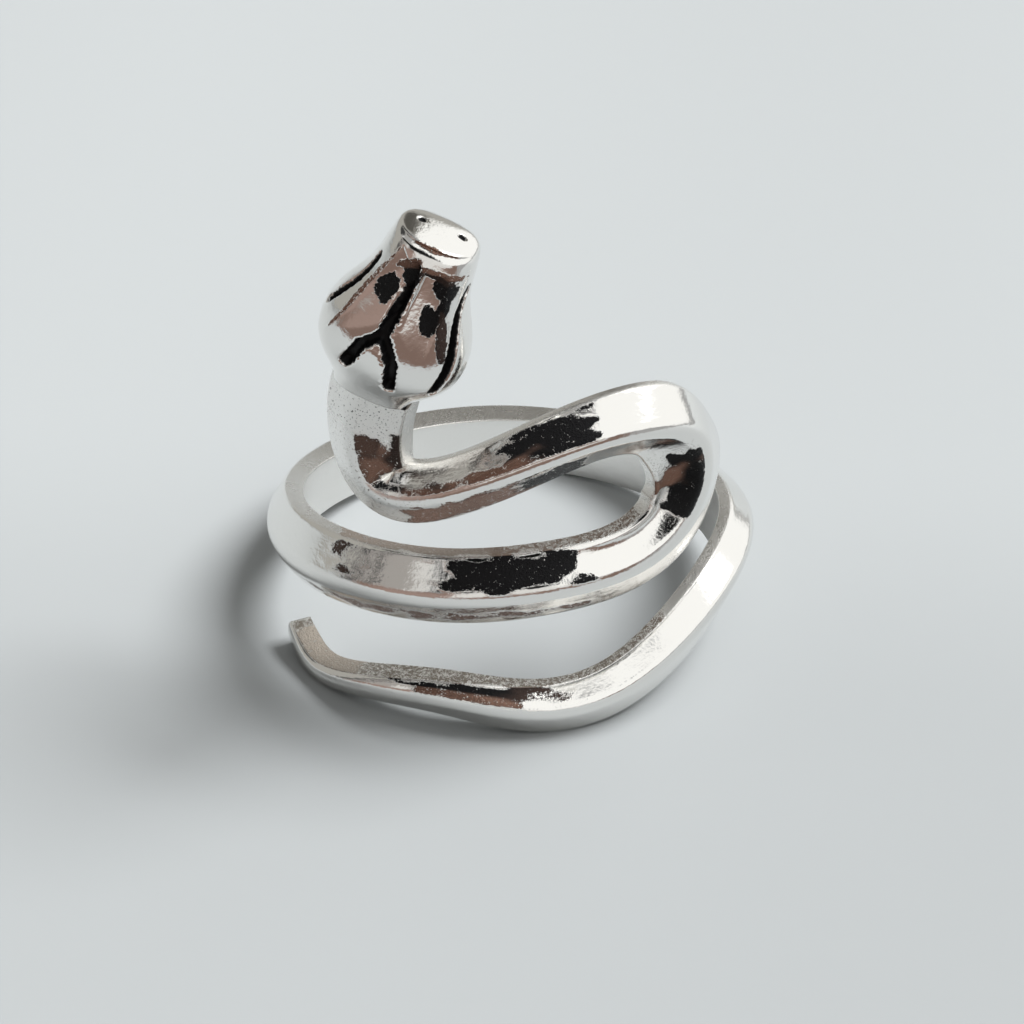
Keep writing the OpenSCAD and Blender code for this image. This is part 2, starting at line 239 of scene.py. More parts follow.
# Patches on the crown, patina and painted dark reflection in one: black ovals that darken the deep
# and turned-away walls of the hollows as shade and dark reflection would, and brown lines, the last
# one a painted brown reflection in the crease behind the nose. Places along and across of the
# middle, half length and half width as places too, lean in degrees, then how much is covered and
# how brown it is
HEAD_PATINA_AND_DARK_REFLECTIONS = (
    (0.630, -0.620, 0.270, 0.026, 16, 0.62, 0.7),
    (0.705, -0.335, 0.075, 0.125, 15, 1.50, 0.0),
    (0.625, 0.320, 0.075, 0.100, -20, 1.50, 0.0),
    (0.810, 0.360, 0.050, 0.150, 0, 1.30, 0.0),
    (0.700, 0.430, 0.080, 0.075, 0, 1.30, 0.0),
    (0.560, 0.580, 0.130, 0.060, -20, 1.10, 0.1),
    (0.820, -0.110, 0.060, 0.110, 0, 1.30, 0.0),
    (0.862, 0.200, 0.030, 0.230, 0, 1.10, 0.1),
    (0.885, 0.230, 0.018, 0.290, 0, 0.80, 0.6),
    (0.870, -0.200, 0.022, 0.170, -40, 0.80, 0.5),
    (0.974, 0.040, 0.010, 0.280, 0, 0.90, 0.8),
)

# Cut lines as places along and across the head, with the half width of the head as the unit
# across for the crown and the half width at each place for the mouth
CROWN_LINES = (
    ((0.870, -0.12), (0.720, -0.10), (0.600, -0.12), (0.480, -0.14)),
    ((0.480, -0.14), (0.380, -0.36), (0.220, -0.46)),
    ((0.480, -0.14), (0.340, 0.12), (0.180, 0.21)),
)
MOUTH_LINES = (
    ((0.790, -0.94), (0.710, -0.95), (0.620, -0.95), (0.520, -0.96), (0.440, -0.98)),
    ((0.800, 0.97), (0.710, 0.92), (0.610, 0.87), (0.500, 0.83), (0.400, 0.80), (0.310, 0.78),
     (0.240, 0.79)),
)
NOSTRIL_AT = (1.0, 0.28)
LINE_STEPS = 8

# Lips of the cuts: how far they wander, the size of the wander and its seed, the share of it that
# the mouth takes, how steep the walls are, and how black the mouth and the nostrils are
CUT_EDGE = (0.05 * MM, 0.16 * MM, 1.7)
MOUTH_EDGE = 0.5
GROOVE_POWER = 4
GROOVE_WALL = 0.8
MOUTH_BLACK = 0.9
NOSTRIL_BLACK = 0.5

# Black seam between the neck and the head, and how many times wider its pits lie
SEAM_REACH = 0.16 * MM
SEAM_PITS = 3

# Marks on the silver: bumps per mm of the grains that make them, and how the polishing strokes
# are stretched
SWELL, RIPPLE, STROKES, SPECK, FLECK = 1.1, 6.0, 9.0, 13.0, 19.0
STROKE_STRETCH = (0.18, 1, 1)
GRAIN_DETAIL = 3
GRAIN_ROUGHNESS = 0.6

# Black of the cuts, specks in the pits and blotches of patina and painted dark reflection: how much
# the grains do in them, and the range over which each one fades in
CUT_RAGGED = 0.5
CUT_BLACK = (0.36, 0.5)
PIT_SPECKS = (0.61, 0.68)
BLOTCH_RIPPLE, BLOTCH_FLECK, BLOTCH_LEVEL = 2.4, 3.0, 1.6
BLOTCH_EDGE = (0.4, 0.5)

# How much rougher the worn, black and blotched places are, how much less metallic the black is,
# and the shine of what isn't metal
WORN_SWELL = (0.3, 0.7)
WORN_ROUGHER, BLACK_ROUGHER, BLOTCH_ROUGHER = 0.05, 0.4, 0.12
BLACK_DULL = 0.85
SILVER_SPECULAR = 0.15

# Heights of the marks in mm, and the share of the pits in the rough casting skin
RIPPLE_HEIGHT, SWELL_HEIGHT, STROKE_HEIGHT = 0.006, 0.02, 0.0035
CAST_HEIGHT, PATCH_HEIGHT, DARK_DEPTH = 0.035, 0.05, 0.03
PIT_SHARE = 0.5

# Table: bumps of its grain per metre, how much of its shade the grain makes, its gloss, and how
# far it reaches in metres
TABLE_GRAIN = 600
TABLE_GRAIN_SHARE = 0.04
TABLE_ROUGHNESS = 0.55
TABLE_SPECULAR = 0.25
TABLE_REACH = 1.5

# Studio round the ring as seen from it, later rows over earlier ones: azimuth of the middle from
# +X towards +Y, half width, lowest and highest elevation, softness, all in degrees, then red,
# green and blue light
STUDIO_ZONES = (
    (140, 80, -5, 66, 8, 0.42, 0.41, 0.38),
    (200, 16, -5, 38, 4, 0.40, 0.38, 0.36),
    (187, 2.5, -5, 38, 1, 0.04, 0.04, 0.045),
    (196, 1.5, -5, 38, 1, 0.08, 0.08, 0.08),
    (218, 4, 9, 38, 2, 0.75, 0.74, 0.72),
    (270, 48, -80, 16, 5, 0.22, 0.15, 0.125),
    (209, 17, -80, 7, 3, 0.22, 0.15, 0.125),
    (245, 44, -16, 8, 9, 0.36, 0.26, 0.225),
    (272, 32, -11, 18, 1.5, 0.80, 0.79, 0.77),
    (90, 14, 20, 60, 8, 0.10, 0.095, 0.085),
    (195, 18, 44, 60, 3, 0.8, 0.8, 0.8),
    (255, 28, 20, 58, 2, 0.008, 0.008, 0.008),
    (222, 35, 39, 57, 2, 0.006, 0.006, 0.006),
    (150, 24, 40, 84, 3, 0.06, 0.06, 0.06),
    (358, 74, 4, 78, 3, 1.1, 1.1, 1.08),
    (290, 50, 64, 80, 3, 1.1, 1.1, 1.08),
    (6, 14, 38, 66, 6, 4.0, 4.0, 4.0),
)
FULL_TURN = 360

# Light where no zone reaches, the backdrop that the camera alone sees, its sensor in mm and the
# nearest that it sees
AMBIENT = 0.40
SEEN_BACKDROP = (0.62, 0.645, 0.65)
SENSOR_WIDTH = 36
NEAREST_SEEN = 5 * MM


def a_length(name, size, description):
    """Property of a length, given in mm."""
    return FloatProperty(name=name, description=description, default=size * MM, unit="LENGTH")


def an_angle(name, degrees, description):
    """Property of an angle, given in degrees."""
    return FloatProperty(
        name=name, description=description, default=math.radians(degrees), subtype="ANGLE")


def a_share(name, value, description):
    """Property of a share of one."""
    return FloatProperty(
        name=name, description=description, default=value, subtype="FACTOR", min=0, max=1)


def a_colour(name, value, description):
    """Property of a colour, as red, green and blue."""
    return FloatVectorProperty(
        name=name, description=description, default=value, subtype="COLOR")


class RingSizes(bpy.types.PropertyGroup):
    """Sizes of the coiled body."""
    bore: a_length("Bore", 17.5, "Across the inside of the ring")
    wrap_height: a_length("Wrap height", 15, "Height of the top bend's middle line above the table")
    band_width: a_length("Band width", 3, "Width of the body over its plain turns")
    band_thickness: a_length("Band thickness", 1.6, "Thickness of the body at its spine")
    spine_radius: a_length("Spine radius", 0.28, "Half width of the rounded spine")
    rim_radius: a_length("Rim radius", 0.14, "Rounding of the outer edges of the two rims")
    foot_radius: a_length("Foot radius", 0.07, "Rounding of the inner edges at the finger")


class HeadSizes(bpy.types.PropertyGroup):
    """Sizes of the head and its cuts."""
    length: a_length("Length", 8, "From the neck to the nose")
    width: a_length("Width", 5.65, "Across the jaws")
    top: a_length("Crown", 1.9, "Crown above the jaw line")
    under: a_length("Underside", 1.5, "Underside below the jaw line")
    lean: an_angle("Lean", 19, "Lean from the finger axis")
    turn: an_angle("Turn", 19, "Turn of the crown away from the finger surface")
    neck_in: a_length("Neck in", 1.4, "How far the neck runs into the head")
    crown_cut_width: a_length("Crown cut width", 0.5, "Width of the cut lines on the crown")
    crown_cut_depth: a_length("Crown cut depth", 0.42, "Depth of the cut lines on the crown")
    mouth_width: a_length("Mouth width", 0.42, "Width of the slit between the jaws")
    mouth_depth: a_length("Mouth depth", 0.4, "Depth of the slit between the jaws")
    nostril: a_length("Nostril", 0.34, "Width of a nostril")
    nostril_depth: a_length("Nostril depth", 0.14, "Depth of a nostril")
    hollow_depth: a_length("Hollow depth", 0.8, "Depth of the crown hollows at their front end")
    hollow_wall: a_length("Hollow wall", 0.45, "Width of the rounded wall round a hollow")


class SilverFinish(bpy.types.PropertyGroup):
    """Colours and gloss of the silver."""
    silver: a_colour("Silver", (0.85, 0.84, 0.815), "Colour of the polished silver")
    oxide: a_colour("Oxide", (0.006, 0.006, 0.0065), "Colour of the blackened cuts")
    # Brown of the patches, partly stains and partly painted brown reflection
    brown: a_colour("Brown", (0.34, 0.205, 0.155), "Colour of the brown stains")
    # Colour of the dark patches on the rims, the painted dark reflection on the middle band's front
    # rim among them
    as_cast: a_colour("As cast", (0.32, 0.285, 0.245), "Colour of the specks on the rims")
    polish: a_share("Polish", 0.07, "Roughness of the polished facets")
    satin: a_share("Satin", 0.34, "Roughness of the rims as cast")


class StudioSettings(bpy.types.PropertyGroup):
    """Table, camera and light."""
    key_power: FloatProperty(
        name="Key power", description="Power of the lamp at the right", default=6.2)
    key_azimuth: an_angle("Key azimuth", 9, "Way to the lamp from +X towards +Y")
    key_elevation: an_angle("Key elevation", 58, "Elevation of the lamp")
    key_distance: a_length("Key distance", 600, "From the ring to the lamp")
    key_size: a_length("Key size", 340, "Width of the lamp")
    table: a_colour("Table", (0.318, 0.334, 0.34), "Colour of the table")
    # Painted light falloff across the table's colour
    fade: a_share("Fade", 0.12, "How much lighter the table is far left, darker near right")
    painted_falloff_half: a_length("Fade half width", 24, "From the finger axis to where the fade ends")
    front_edge: a_length("Front edge", 28, "From the finger axis to the table's front edge")
    elevation: an_angle("Elevation", 36, "Camera's height angle")
    roll: an_angle("Roll", 2.8, "Camera's roll")
    distance: a_length("Distance", 130, "From the camera to the point that it looks at")
    look_height: a_length("Look height", 6, "Height of the point that the camera looks at")
    lens: FloatProperty(
        name="Lens", description="Focal length in mm on a 36 mm wide sensor", default=108.8)
    shift: FloatProperty(
        name="Shift", description="Upright shift of the lens", default=-0.0354)


def curve(rows, places):
    """Smooth curve through control rows: its value, slope and bend at each place."""
    p = np.vstack([2 * rows[0] - rows[1], rows, 2 * rows[-1] - rows[-2]])
    k = np.minimum(places.astype(int), len(rows) - 2)
    t = (places - k)[:, None]
    a, b, c, d = p[k], p[k + 1], p[k + 2], p[k + 3]
    value = ((1 - t) ** 3 * a + (3 * t ** 3 - 6 * t * t + 4) * b
             + (-3 * t ** 3 + 3 * t * t + 3 * t + 1) * c + t ** 3 * d) / 6
    slope = (-(1 - t) ** 2 * a + (3 * t * t - 4 * t) * b
             + (-3 * t * t + 2 * t + 1) * c + t * t * d) / 2
    bend = (1 - t) * (a - 2 * b + c) + t * (b - 2 * c + d)
    return value, slope, bend


def unrolled(ring, rows):
    """Rows as lengths round the finger and along its axis."""
    return np.stack([
        np.radians(rows[:, ANGLE]) * ring.bore / 2, rows[:, HEIGHT] * ring.wrap_height], 1)


class Stations:
    """Rows of the body at many places, with the way to the head and the reach to each side."""

    def __init__(self, ring, places):
        self.places = places
        self.row, slope, bend = curve(BODY, places)
        slope, bend = unrolled(ring, slope), unrolled(ring, bend)
        speed = np.linalg.norm(slope, axis=1)
        turn = (slope[:, 0] * bend[:, 1] - slope[:, 1] * bend[:, 0]) / speed ** 3
        half = self.row[:, WIDTH] * ring.band_width / 2
        limit = FOLD_SHARE / np.maximum(np.abs(turn), STRAIGHTEST_TURN)
        inner = (half ** -LIMIT_POWER + limit ** -LIMIT_POWER) ** (-1 / LIMIT_POWER)
        self.way = slope / speed[:, None]
        self.left = np.where(turn > 0, inner, half)
        self.right = np.where(turn > 0, half, inner)
        self.travel = np.concatenate([[0], np.cumsum(
            np.linalg.norm(np.diff(unrolled(ring, self.row), axis=0), axis=1))])


def on_finger(ring, st, across, out):
    """Points that lie across to the left of the way and out from the finger."""
    angle = np.radians(st.row[:, ANGLE])[:, None] - across * st.way[:, 1:2] / (ring.bore / 2)
    radius = ring.bore / 2 + (st.row[:, FLARE] * ring.band_thickness)[:, None] + out
    z = (st.row[:, HEIGHT] * ring.wrap_height)[:, None] + across * st.way[:, 0:1]
    return np.stack([radius * np.cos(angle), radius * np.sin(angle), z], 2)


def rounded_corner(here, before, after, radius, points):
    """Points of a curve that cuts a corner between the corners before and after it."""
    start, end = (
        here + (other - here) * np.minimum(
            radius / np.linalg.norm(other - here, axis=1, keepdims=True), MOST_ROUNDED)
        for other in (before, after)
    )
    t = np.linspace(0, 1, points)[None, :, None]
    return ((1 - t) ** 2 * start[:, None] + 2 * t * (1 - t) * here[:, None]
            + t * t * end[:, None])


def body_section(ring, st):
    """Rounded sections as across and out, and the flat that each section point belongs to."""
    thickness = ring.band_thickness
    top = st.row[:, THICK] * thickness
    spine = st.row[:, SPINE] * st.row[:, WIDTH] * ring.band_width / 2
    room = np.minimum(st.left - spine, st.right + spine)
    ridge = RIDGE_HALF * np.minimum(ring.spine_radius, room)
    drop = top - RIDGE_DROP * ring.spine_radius
    foot = np.zeros_like(top)
    corners = [
        (st.left, foot), (st.left, st.row[:, RIM_LEFT] * thickness),
        (spine + ridge, drop), (spine - ridge, drop),
        (-st.right, st.row[:, RIM_RIGHT] * thickness), (-st.right, foot),
    ]
    corners = [np.stack(c, 1) for c in corners]
    ridge_radius = RIDGE_ROUND * ring.spine_radius
    radii = [ring.foot_radius, ring.rim_radius, ridge_radius, ridge_radius, ring.rim_radius,
             ring.foot_radius]
    count = len(corners)
    rounds = [
        rounded_corner(
            corners[i], corners[i - 1], corners[(i + 1) % count], radius, CORNER_POINTS[i])
        for i, radius in enumerate(radii)
    ]
    parts, flats = [], []
    for i in range(count):
        half = CORNER_POINTS[i] // 2
        flats += [(i - 1) % count] * half + [i] * (CORNER_POINTS[i] - half + FLAT_POINTS[i])
        t = (np.arange(1, FLAT_POINTS[i] + 1) / (FLAT_POINTS[i] + 1))[None, :, None]
        flat = rounds[i][:, -1:] * (1 - t) + rounds[(i + 1) % count][:, :1] * t
        if i == FACET_LEFT:
            dish = (st.row[:, DISH] * thickness)[:, None]
            flat[:, :, 1] -= DISH_DEPTH * dish * t[:, :, 0] * (1 - t[:, :, 0])
        parts += [rounds[i], flat]
    return np.concatenate(parts, 1), np.array(flats)


def bump_at(x, middle, half):
    """A smooth hump of height one round the middle, nothing beyond its half width."""
    return np.clip(1 - ((x - middle) / half) ** 2, 0, 1) ** 2


def step_up(x, start, end):
    """A smooth step from nothing at the start to one at the end."""
    t = np.clip((x - start) / (end - start), 0, 1)
    return t * t * (3 - 2 * t)


def shares_across(flats):
    """How far across its flat each section point lies, from the left edge to the right one."""
    shares = np.zeros(len(flats))
    for flat in range(INNER + 1):
        mine = np.flatnonzero(flats == flat)
        if flat == WALL_LEFT:
            mine = np.roll(mine, np.sum(mine > len(flats) // 2))
        shares[mine] = np.linspace(0, 1, len(mine))
    return shares


def body_patina_and_dark_reflections(st, flats, section):
    """Dark and brown patches of patina and painted dark reflection that fade out at uneven edges.
    """
    place, share = st.places[:, None], shares_across(flats)[None, :]
    patina = brown = np.zeros(section.shape[:2])
    travel = BODY_EDGE_STRETCH * st.travel[:, None] + 0 * patina
    spots = np.stack([travel, *np.moveaxis(section, 2, 0)], 2).reshape(-1, 3)
    uneven = wander(spots, *BODY_EDGE).reshape(patina.shape)
    # Each patch paints patina and dark reflection into the silver's colour
    for flat, start, end, low, high, strength, warmth in BODY_PATINA_AND_DARK_REFLECTIONS:
        lengthwise = np.minimum(place - start, end - place) / PATCH_SOFT_ROWS
        crosswise = np.minimum(share - low, high - share) / PATCH_SOFT_SHARE
        fade = step_up(np.minimum(lengthwise, crosswise) + uneven, *BODY_FADE)
        here = fade * (flats[None, :] == flat)
        patina = np.maximum(patina, strength * here)
        brown = np.maximum(brown * (1 - here), warmth * here)
    return patina, brown


def head_patina_and_dark_reflections(head, skin):
    """Dark and brown oval patches of patina and painted dark reflection on the crown, with uneven
    edges.
    """
    along, across = skin[:, 1] / head.length, skin[:, 0] / (head.width / 2)
    patina = brown = np.zeros(len(skin))
    uneven = sum(wander(skin, *edge) for edge in HEAD_EDGES)
    for middle, side, half_along, half_across, lean, strength, warmth in HEAD_PATINA_AND_DARK_REFLECTIONS:
        y, x = (along - middle) * head.length, (across - side) * head.width / 2
        turn = math.radians(lean)
        y, x = y * math.cos(turn) + x * math.sin(turn), x * math.cos(turn) - y * math.sin(turn)
        reach = np.hypot(y / (half_along * head.length), x / (half_across * head.width / 2))
        here = step_up(reach + uneven, *HEAD_FADE) * (skin[:, 2] > 0)
        patina = np.maximum(patina, strength * here)
        brown = np.maximum(brown * (1 - here), warmth * here)
    return patina, brown


def body_masks(st, flats):
    """Shares of casting grain, matte skin and pits over the body."""
    place = st.places[:, None]
    flats = flats[None, :]
    wall = np.isin(flats, (WALL_LEFT, WALL_RIGHT)).astype(float)
    tail = 1 - step_up(place, *TAIL_ROWS)
    grain = wall * (RIM_GRAIN + (1 - RIM_GRAIN) * tail)
    bend = bump_at(place, *BEND_ROWS) * (flats == FACET_LEFT)
    neck = step_up(place, *NECK_ROWS) * np.isin(flats, (FACET_LEFT, FACET_RIGHT, RIDGE))
    inner = MATTE_SKIN * (flats == INNER)
    matte = np.maximum(np.maximum(bend, MATTE_SKIN * neck), inner + 0 * place)
    root = bump_at(place, *ROOT_ROWS) * np.isin(flats, (FACET_LEFT, RIDGE))
    pits = np.maximum(np.maximum(bend, root), neck)
    return grain, matte, pits


def closed_skin(grid):
    """Points and faces of a skin through closed rings, with a point in the middle of each end."""
    rings, points = grid.shape[:2]
    verts = np.concatenate([grid.reshape(-1, 3), [grid[0].mean(0), grid[-1].mean(0)]])
    i, j = np.arange(rings - 1)[:, None], np.arange(points)[None, :]
    a, b = i * points + j, i * points + (j + 1) % points
    faces = np.stack([a, b, b + points, a + points], 2).reshape(-1, 4).tolist()
    start, end, last = rings * points, rings * points + 1, (rings - 1) * points
    faces += [(start, (j + 1) % points, j) for j in range(points)]
    faces += [(end, last + j, last + (j + 1) % points) for j in range(points)]
    return verts, faces


def with_ends(values):
    """Values of the skin's rings, with the first and last ones again for the two end points."""
    return np.concatenate([values, values[[0, -1]]])


def mesh_from(name, verts, faces, layers):
    """A mesh whose points carry the values of the layers."""
    mesh = bpy.data.meshes.new(name)
    mesh.from_pydata(np.asarray(verts).tolist(), [], faces)
    for key, values in layers.items():
        values = np.asarray(values, dtype=np.float32)
        kind = "FLOAT_VECTOR" if values.ndim == 2 else "FLOAT"
        layer = mesh.attributes.new(key, kind, "POINT")
        layer.data.foreach_set("vector" if kind == "FLOAT_VECTOR" else "value", values.ravel())
    mesh.validate()
    mesh.update()
    return mesh


def body_mesh(ring):
    """The coiled body from the tail to the neck."""
    st = Stations(ring, np.arange((len(BODY) - 1) * BODY_STEPS + 1) / BODY_STEPS)
    section, flats = body_section(ring, st)
    grid = on_finger(ring, st, section[:, :, 0], section[:, :, 1])
    rings, points = grid.shape[:2]
    masks = (*body_masks(st, flats), *body_patina_and_dark_reflections(st, flats, section), np.zeros((1, 1)))
    travel = np.broadcast_to(st.travel[:, None], (rings, points))
    layers = {
        name: with_ends(np.broadcast_to(mask, (rings, points)).ravel())
        for name, mask in zip(LAYERS, masks)
    }
    layers["place"] = with_ends(np.dstack([travel, section]).reshape(-1, 3)) / MM
    return mesh_from("body", *closed_skin(grid), layers)


def rounded(values, power):
    """Values to a power, with their signs kept."""
    return np.sign(values) * np.abs(values) ** power


def hollow_depth(head, along, across):
    """Depth of the crown hollows, whose sloping walls and floors melt into each other."""
    y, x = along * head.length, across * head.width / 2
    depth = 0 * y
    for corners in HOLLOWS:
        places = corners * [head.length, head.width / 2, head.hollow_wall]
        total = 1
        for here, after in zip(places, np.roll(places, -1, 0)):
            edge = after - here
            inside = edge[ALONG] * (x - here[ACROSS]) - edge[ACROSS] * (y - here[ALONG])
            share = inside / np.hypot(edge[ALONG], edge[ACROSS]) / here[RUN]
            total = total + np.maximum(share, LEAST_SHARE) ** -HOLLOW_POWER
        depth = np.maximum(depth, head.hollow_depth * total ** (-1 / HOLLOW_POWER))
    return depth


def head_row_at(along):
    """Rows of the head nearest to places along it."""
    rows = curve(HEAD, np.linspace(0, len(HEAD) - 1, HEAD_LOOKUPS))[0]
    return rows[np.argmin(np.abs(rows[None, :, PLACE] - along[:, None]), 1)]


def on_crown(head, along, across):
    """Points on the crown's skin, in the head's own axes."""
    row = head_row_at(along)
    half_width = np.maximum(row[:, HALF_WIDTH], LEAST_HALF_WIDTH)
    side = np.minimum(WIDEST_CUT, np.abs(across) / half_width)
    lift = (1 - side ** (2 / HEAD_ROUNDNESS)) ** (HEAD_ROUNDNESS / 2)
    z = row[:, CROWN] * head.top * lift - hollow_depth(head, along, across)
    return np.stack([across * head.width / 2, along * head.length, z], 1)


def spread(line):
    """More places along a line of places."""
    line = np.array(line)
    t = np.linspace(0, len(line) - 1, (len(line) - 1) * LINE_STEPS + 1)
    return [np.interp(t, range(len(line)), line[:, axis]) for axis in (0, 1)]


def distance_to(points, path):
    """How far points lie from a line of straight pieces."""
    best = np.full(len(points), np.inf)
    for a, b in zip(path[:-1], path[1:]):
        t = np.clip(((points - a) @ (b - a)) / ((b - a) @ (b - a)), 0, 1)
        best = np.minimum(best, np.linalg.norm(points - a - t[:, None] * (b - a), axis=1))
    return best


def groove(distance, width, depth):
    """Depth of a groove at a distance from its middle line."""
    share = np.clip(distance / (width / 2), 0, 1)
    return depth * (1 - share ** GROOVE_POWER) ** GROOVE_WALL


def skin_normals(grid):
    """Outward ways from the points of a skin."""
    along = np.gradient(grid, axis=0)
    around = (np.roll(grid, -1, 1) - np.roll(grid, 1, 1)) / 2
    normals = np.cross(around, along)
    return normals / np.maximum(np.linalg.norm(normals, axis=2, keepdims=True), TINY)


def wander(points, reach, size, seed):
    """Smooth noise from -reach to reach at points, with bumps of about one size."""
    shift = Vector((seed, 2 * seed, 3 * seed))
    return reach * np.array([noise.noise(Vector(p / size) + shift) for p in points])


def head_skin(head):
    """Grid of the head's skin before the cuts, from the neck to the nose."""
    places = np.concatenate([k + np.arange(n) / n for k, n in enumerate(HEAD_STEPS)])
    rows = curve(HEAD, places)[0]
    turns = np.concatenate([
        -np.pi * np.arange(UNDER_POINTS) / UNDER_POINTS,
        -np.pi - np.pi * np.arange(CROWN_POINTS) / CROWN_POINTS,
    ])
    cos = rounded(np.cos(turns), HEAD_ROUNDNESS)
    sin = rounded(np.sin(turns), HEAD_ROUNDNESS)
    x = rows[:, [HALF_WIDTH]] * head.width / 2 * cos
    y = np.repeat(rows[:, [PLACE]] * head.length, len(turns), 1)
    height = np.where(
        sin > 0, rows[:, [CROWN]] * head.top, rows[:, [UNDERSIDE]] * head.under)
    dent = np.where(sin > 0, hollow_depth(head, y / head.length, x / (head.width / 2)), 0)
    return np.stack([x, y, sin * height - dent], 2)


def place_head(ring, head, points):
    """Head's own axes to the ring: the jaw line starts one underside off the finger."""
    angle, height = BODY[-1, ANGLE], BODY[-1, HEIGHT]
    to_ring = (
        Matrix.Rotation(math.radians(angle), 4, "Z")
        @ Matrix.Translation((ring.bore / 2 + head.under, 0, height * ring.wrap_height))
        @ Matrix.Rotation(head.turn, 4, "Z") @ Matrix.Rotation(-head.lean, 4, "X")
        @ Matrix.Rotation(math.pi / 2, 4, "Z") @ Matrix.Rotation(math.pi / 2, 4, "X")
        @ Matrix.Translation((0, -head.neck_in, 0))
    )
    m = np.array(to_ring)
    points = points @ m[:3, :3].T + m[:3, 3]
    radius = np.hypot(points[:, 0], points[:, 1])
    clear = np.maximum(1, ring.bore / 2 / np.maximum(radius, TINY))
    return points * np.stack([clear, clear, np.ones_like(clear)], 1)


def head_mesh(ring, head):
    """The head with its cuts, nostrils, patina and painted dark reflection."""
    grid = head_skin(head)
    normals = skin_normals(grid).reshape(-1, 3)
    skin = grid.reshape(-1, 3)
    ragged = wander(skin, *CUT_EDGE)
    to_line = np.min([
        distance_to(skin, on_crown(head, *spread(line))) for line in CROWN_LINES], axis=0)
    crown_cut = groove(to_line + ragged, head.crown_cut_width, head.crown_cut_depth)
    mouth_cut = nostrils = plain = np.zeros(len(skin))
    for line in MOUTH_LINES:
        along, share = spread(line)
        lips = on_crown(head, along, share * head_row_at(along)[:, HALF_WIDTH])
        mouth_cut = np.maximum(mouth_cut, groove(
            distance_to(skin, lips) + MOUTH_EDGE * ragged, head.mouth_width, head.mouth_depth))
    for side in (-1, 1):
        nostril = on_crown(head, np.array([NOSTRIL_AT[0]]), np.array([side * NOSTRIL_AT[1]]))
        nostrils = np.maximum(nostrils, groove(
            np.linalg.norm(skin - nostril, axis=1), head.nostril, head.nostril_depth))
    cut = np.maximum(np.maximum(crown_cut, mouth_cut), nostrils)
    oxide = np.maximum(
        crown_cut / head.crown_cut_depth, MOUTH_BLACK * mouth_cut / head.mouth_depth)
    oxide = np.maximum(oxide, NOSTRIL_BLACK * nostrils / head.nostril_depth)
    patina, brown = head_patina_and_dark_reflections(head, skin)
    masks = (plain, plain, plain, patina, brown, oxide)
    layers = {name: with_ends(mask) for name, mask in zip(LAYERS, masks)}
    layers["place"] = with_ends(skin[:, [1, 0, 2]]) / MM
    verts = place_head(ring, head, skin - normals * cut[:, None])
    return mesh_from("head", *closed_skin(verts.reshape(grid.shape)), layers)


def seam_oxide(mesh, other, reach):
    """Blackens a mesh where it comes near another, as in a crease."""
    tree = BVHTree.FromPolygons(
        [v.co for v in other.vertices], [tuple(p.vertices) for p in other.polygons])
    oxide = mesh.attributes["oxide"].data
    pits = mesh.attributes["pits"].data
    for v in mesh.vertices:
        near = tree.find_nearest(v.co, SEAM_PITS * reach)[3]
        if near is not None:
            oxide[v.index].value = max(oxide[v.index].value, 1 - near / reach)
            pits[v.index].value = max(pits[v.index].value, 1 - near / (SEAM_PITS * reach))


def joined(body, head):
    """One closed skin from the body and the head, with their layers carried over."""
    parts = [bpy.data.objects.new(mesh.name, mesh) for mesh in (body, head)]
    for part in parts:
        bpy.context.scene.collection.objects.link(part)
    union = parts[0].modifiers.new("union", "BOOLEAN")
    union.operation = "UNION"
    union.solver = "EXACT"
    union.object = parts[1]
    depsgraph = bpy.context.evaluated_depsgraph_get()
    result = bpy.data.meshes.new_from_object(parts[0].evaluated_get(depsgraph))
    tree = kdtree.KDTree(len(body.vertices) + len(head.vertices))
    for mesh, base in ((body, 0), (head, len(body.vertices))):
        for v in mesh.vertices:
            tree.insert(v.co, base + v.index)
    tree.balance()
    nearest = np.array([tree.find(v.co)[1] for v in result.vertices])
    for key in (*LAYERS, "place"):
        vector = key == "place"
        prop, size = ("vector", 3) if vector else ("value", 1)
        both = []
        for mesh in (body, head):
            values = np.empty(len(mesh.vertices) * size, dtype=np.float32)
            mesh.attributes[key].data.foreach_get(prop, values)
            both.append(values.reshape(-1, size))
        old = result.attributes.get(key)
        if old:
            result.attributes.remove(old)
        layer = result.attributes.new(key, "FLOAT_VECTOR" if vector else "FLOAT", "POINT")
        layer.data.foreach_set(prop, np.concatenate(both)[nearest].ravel())
    for part in parts:
        bpy.data.objects.remove(part)
    return result


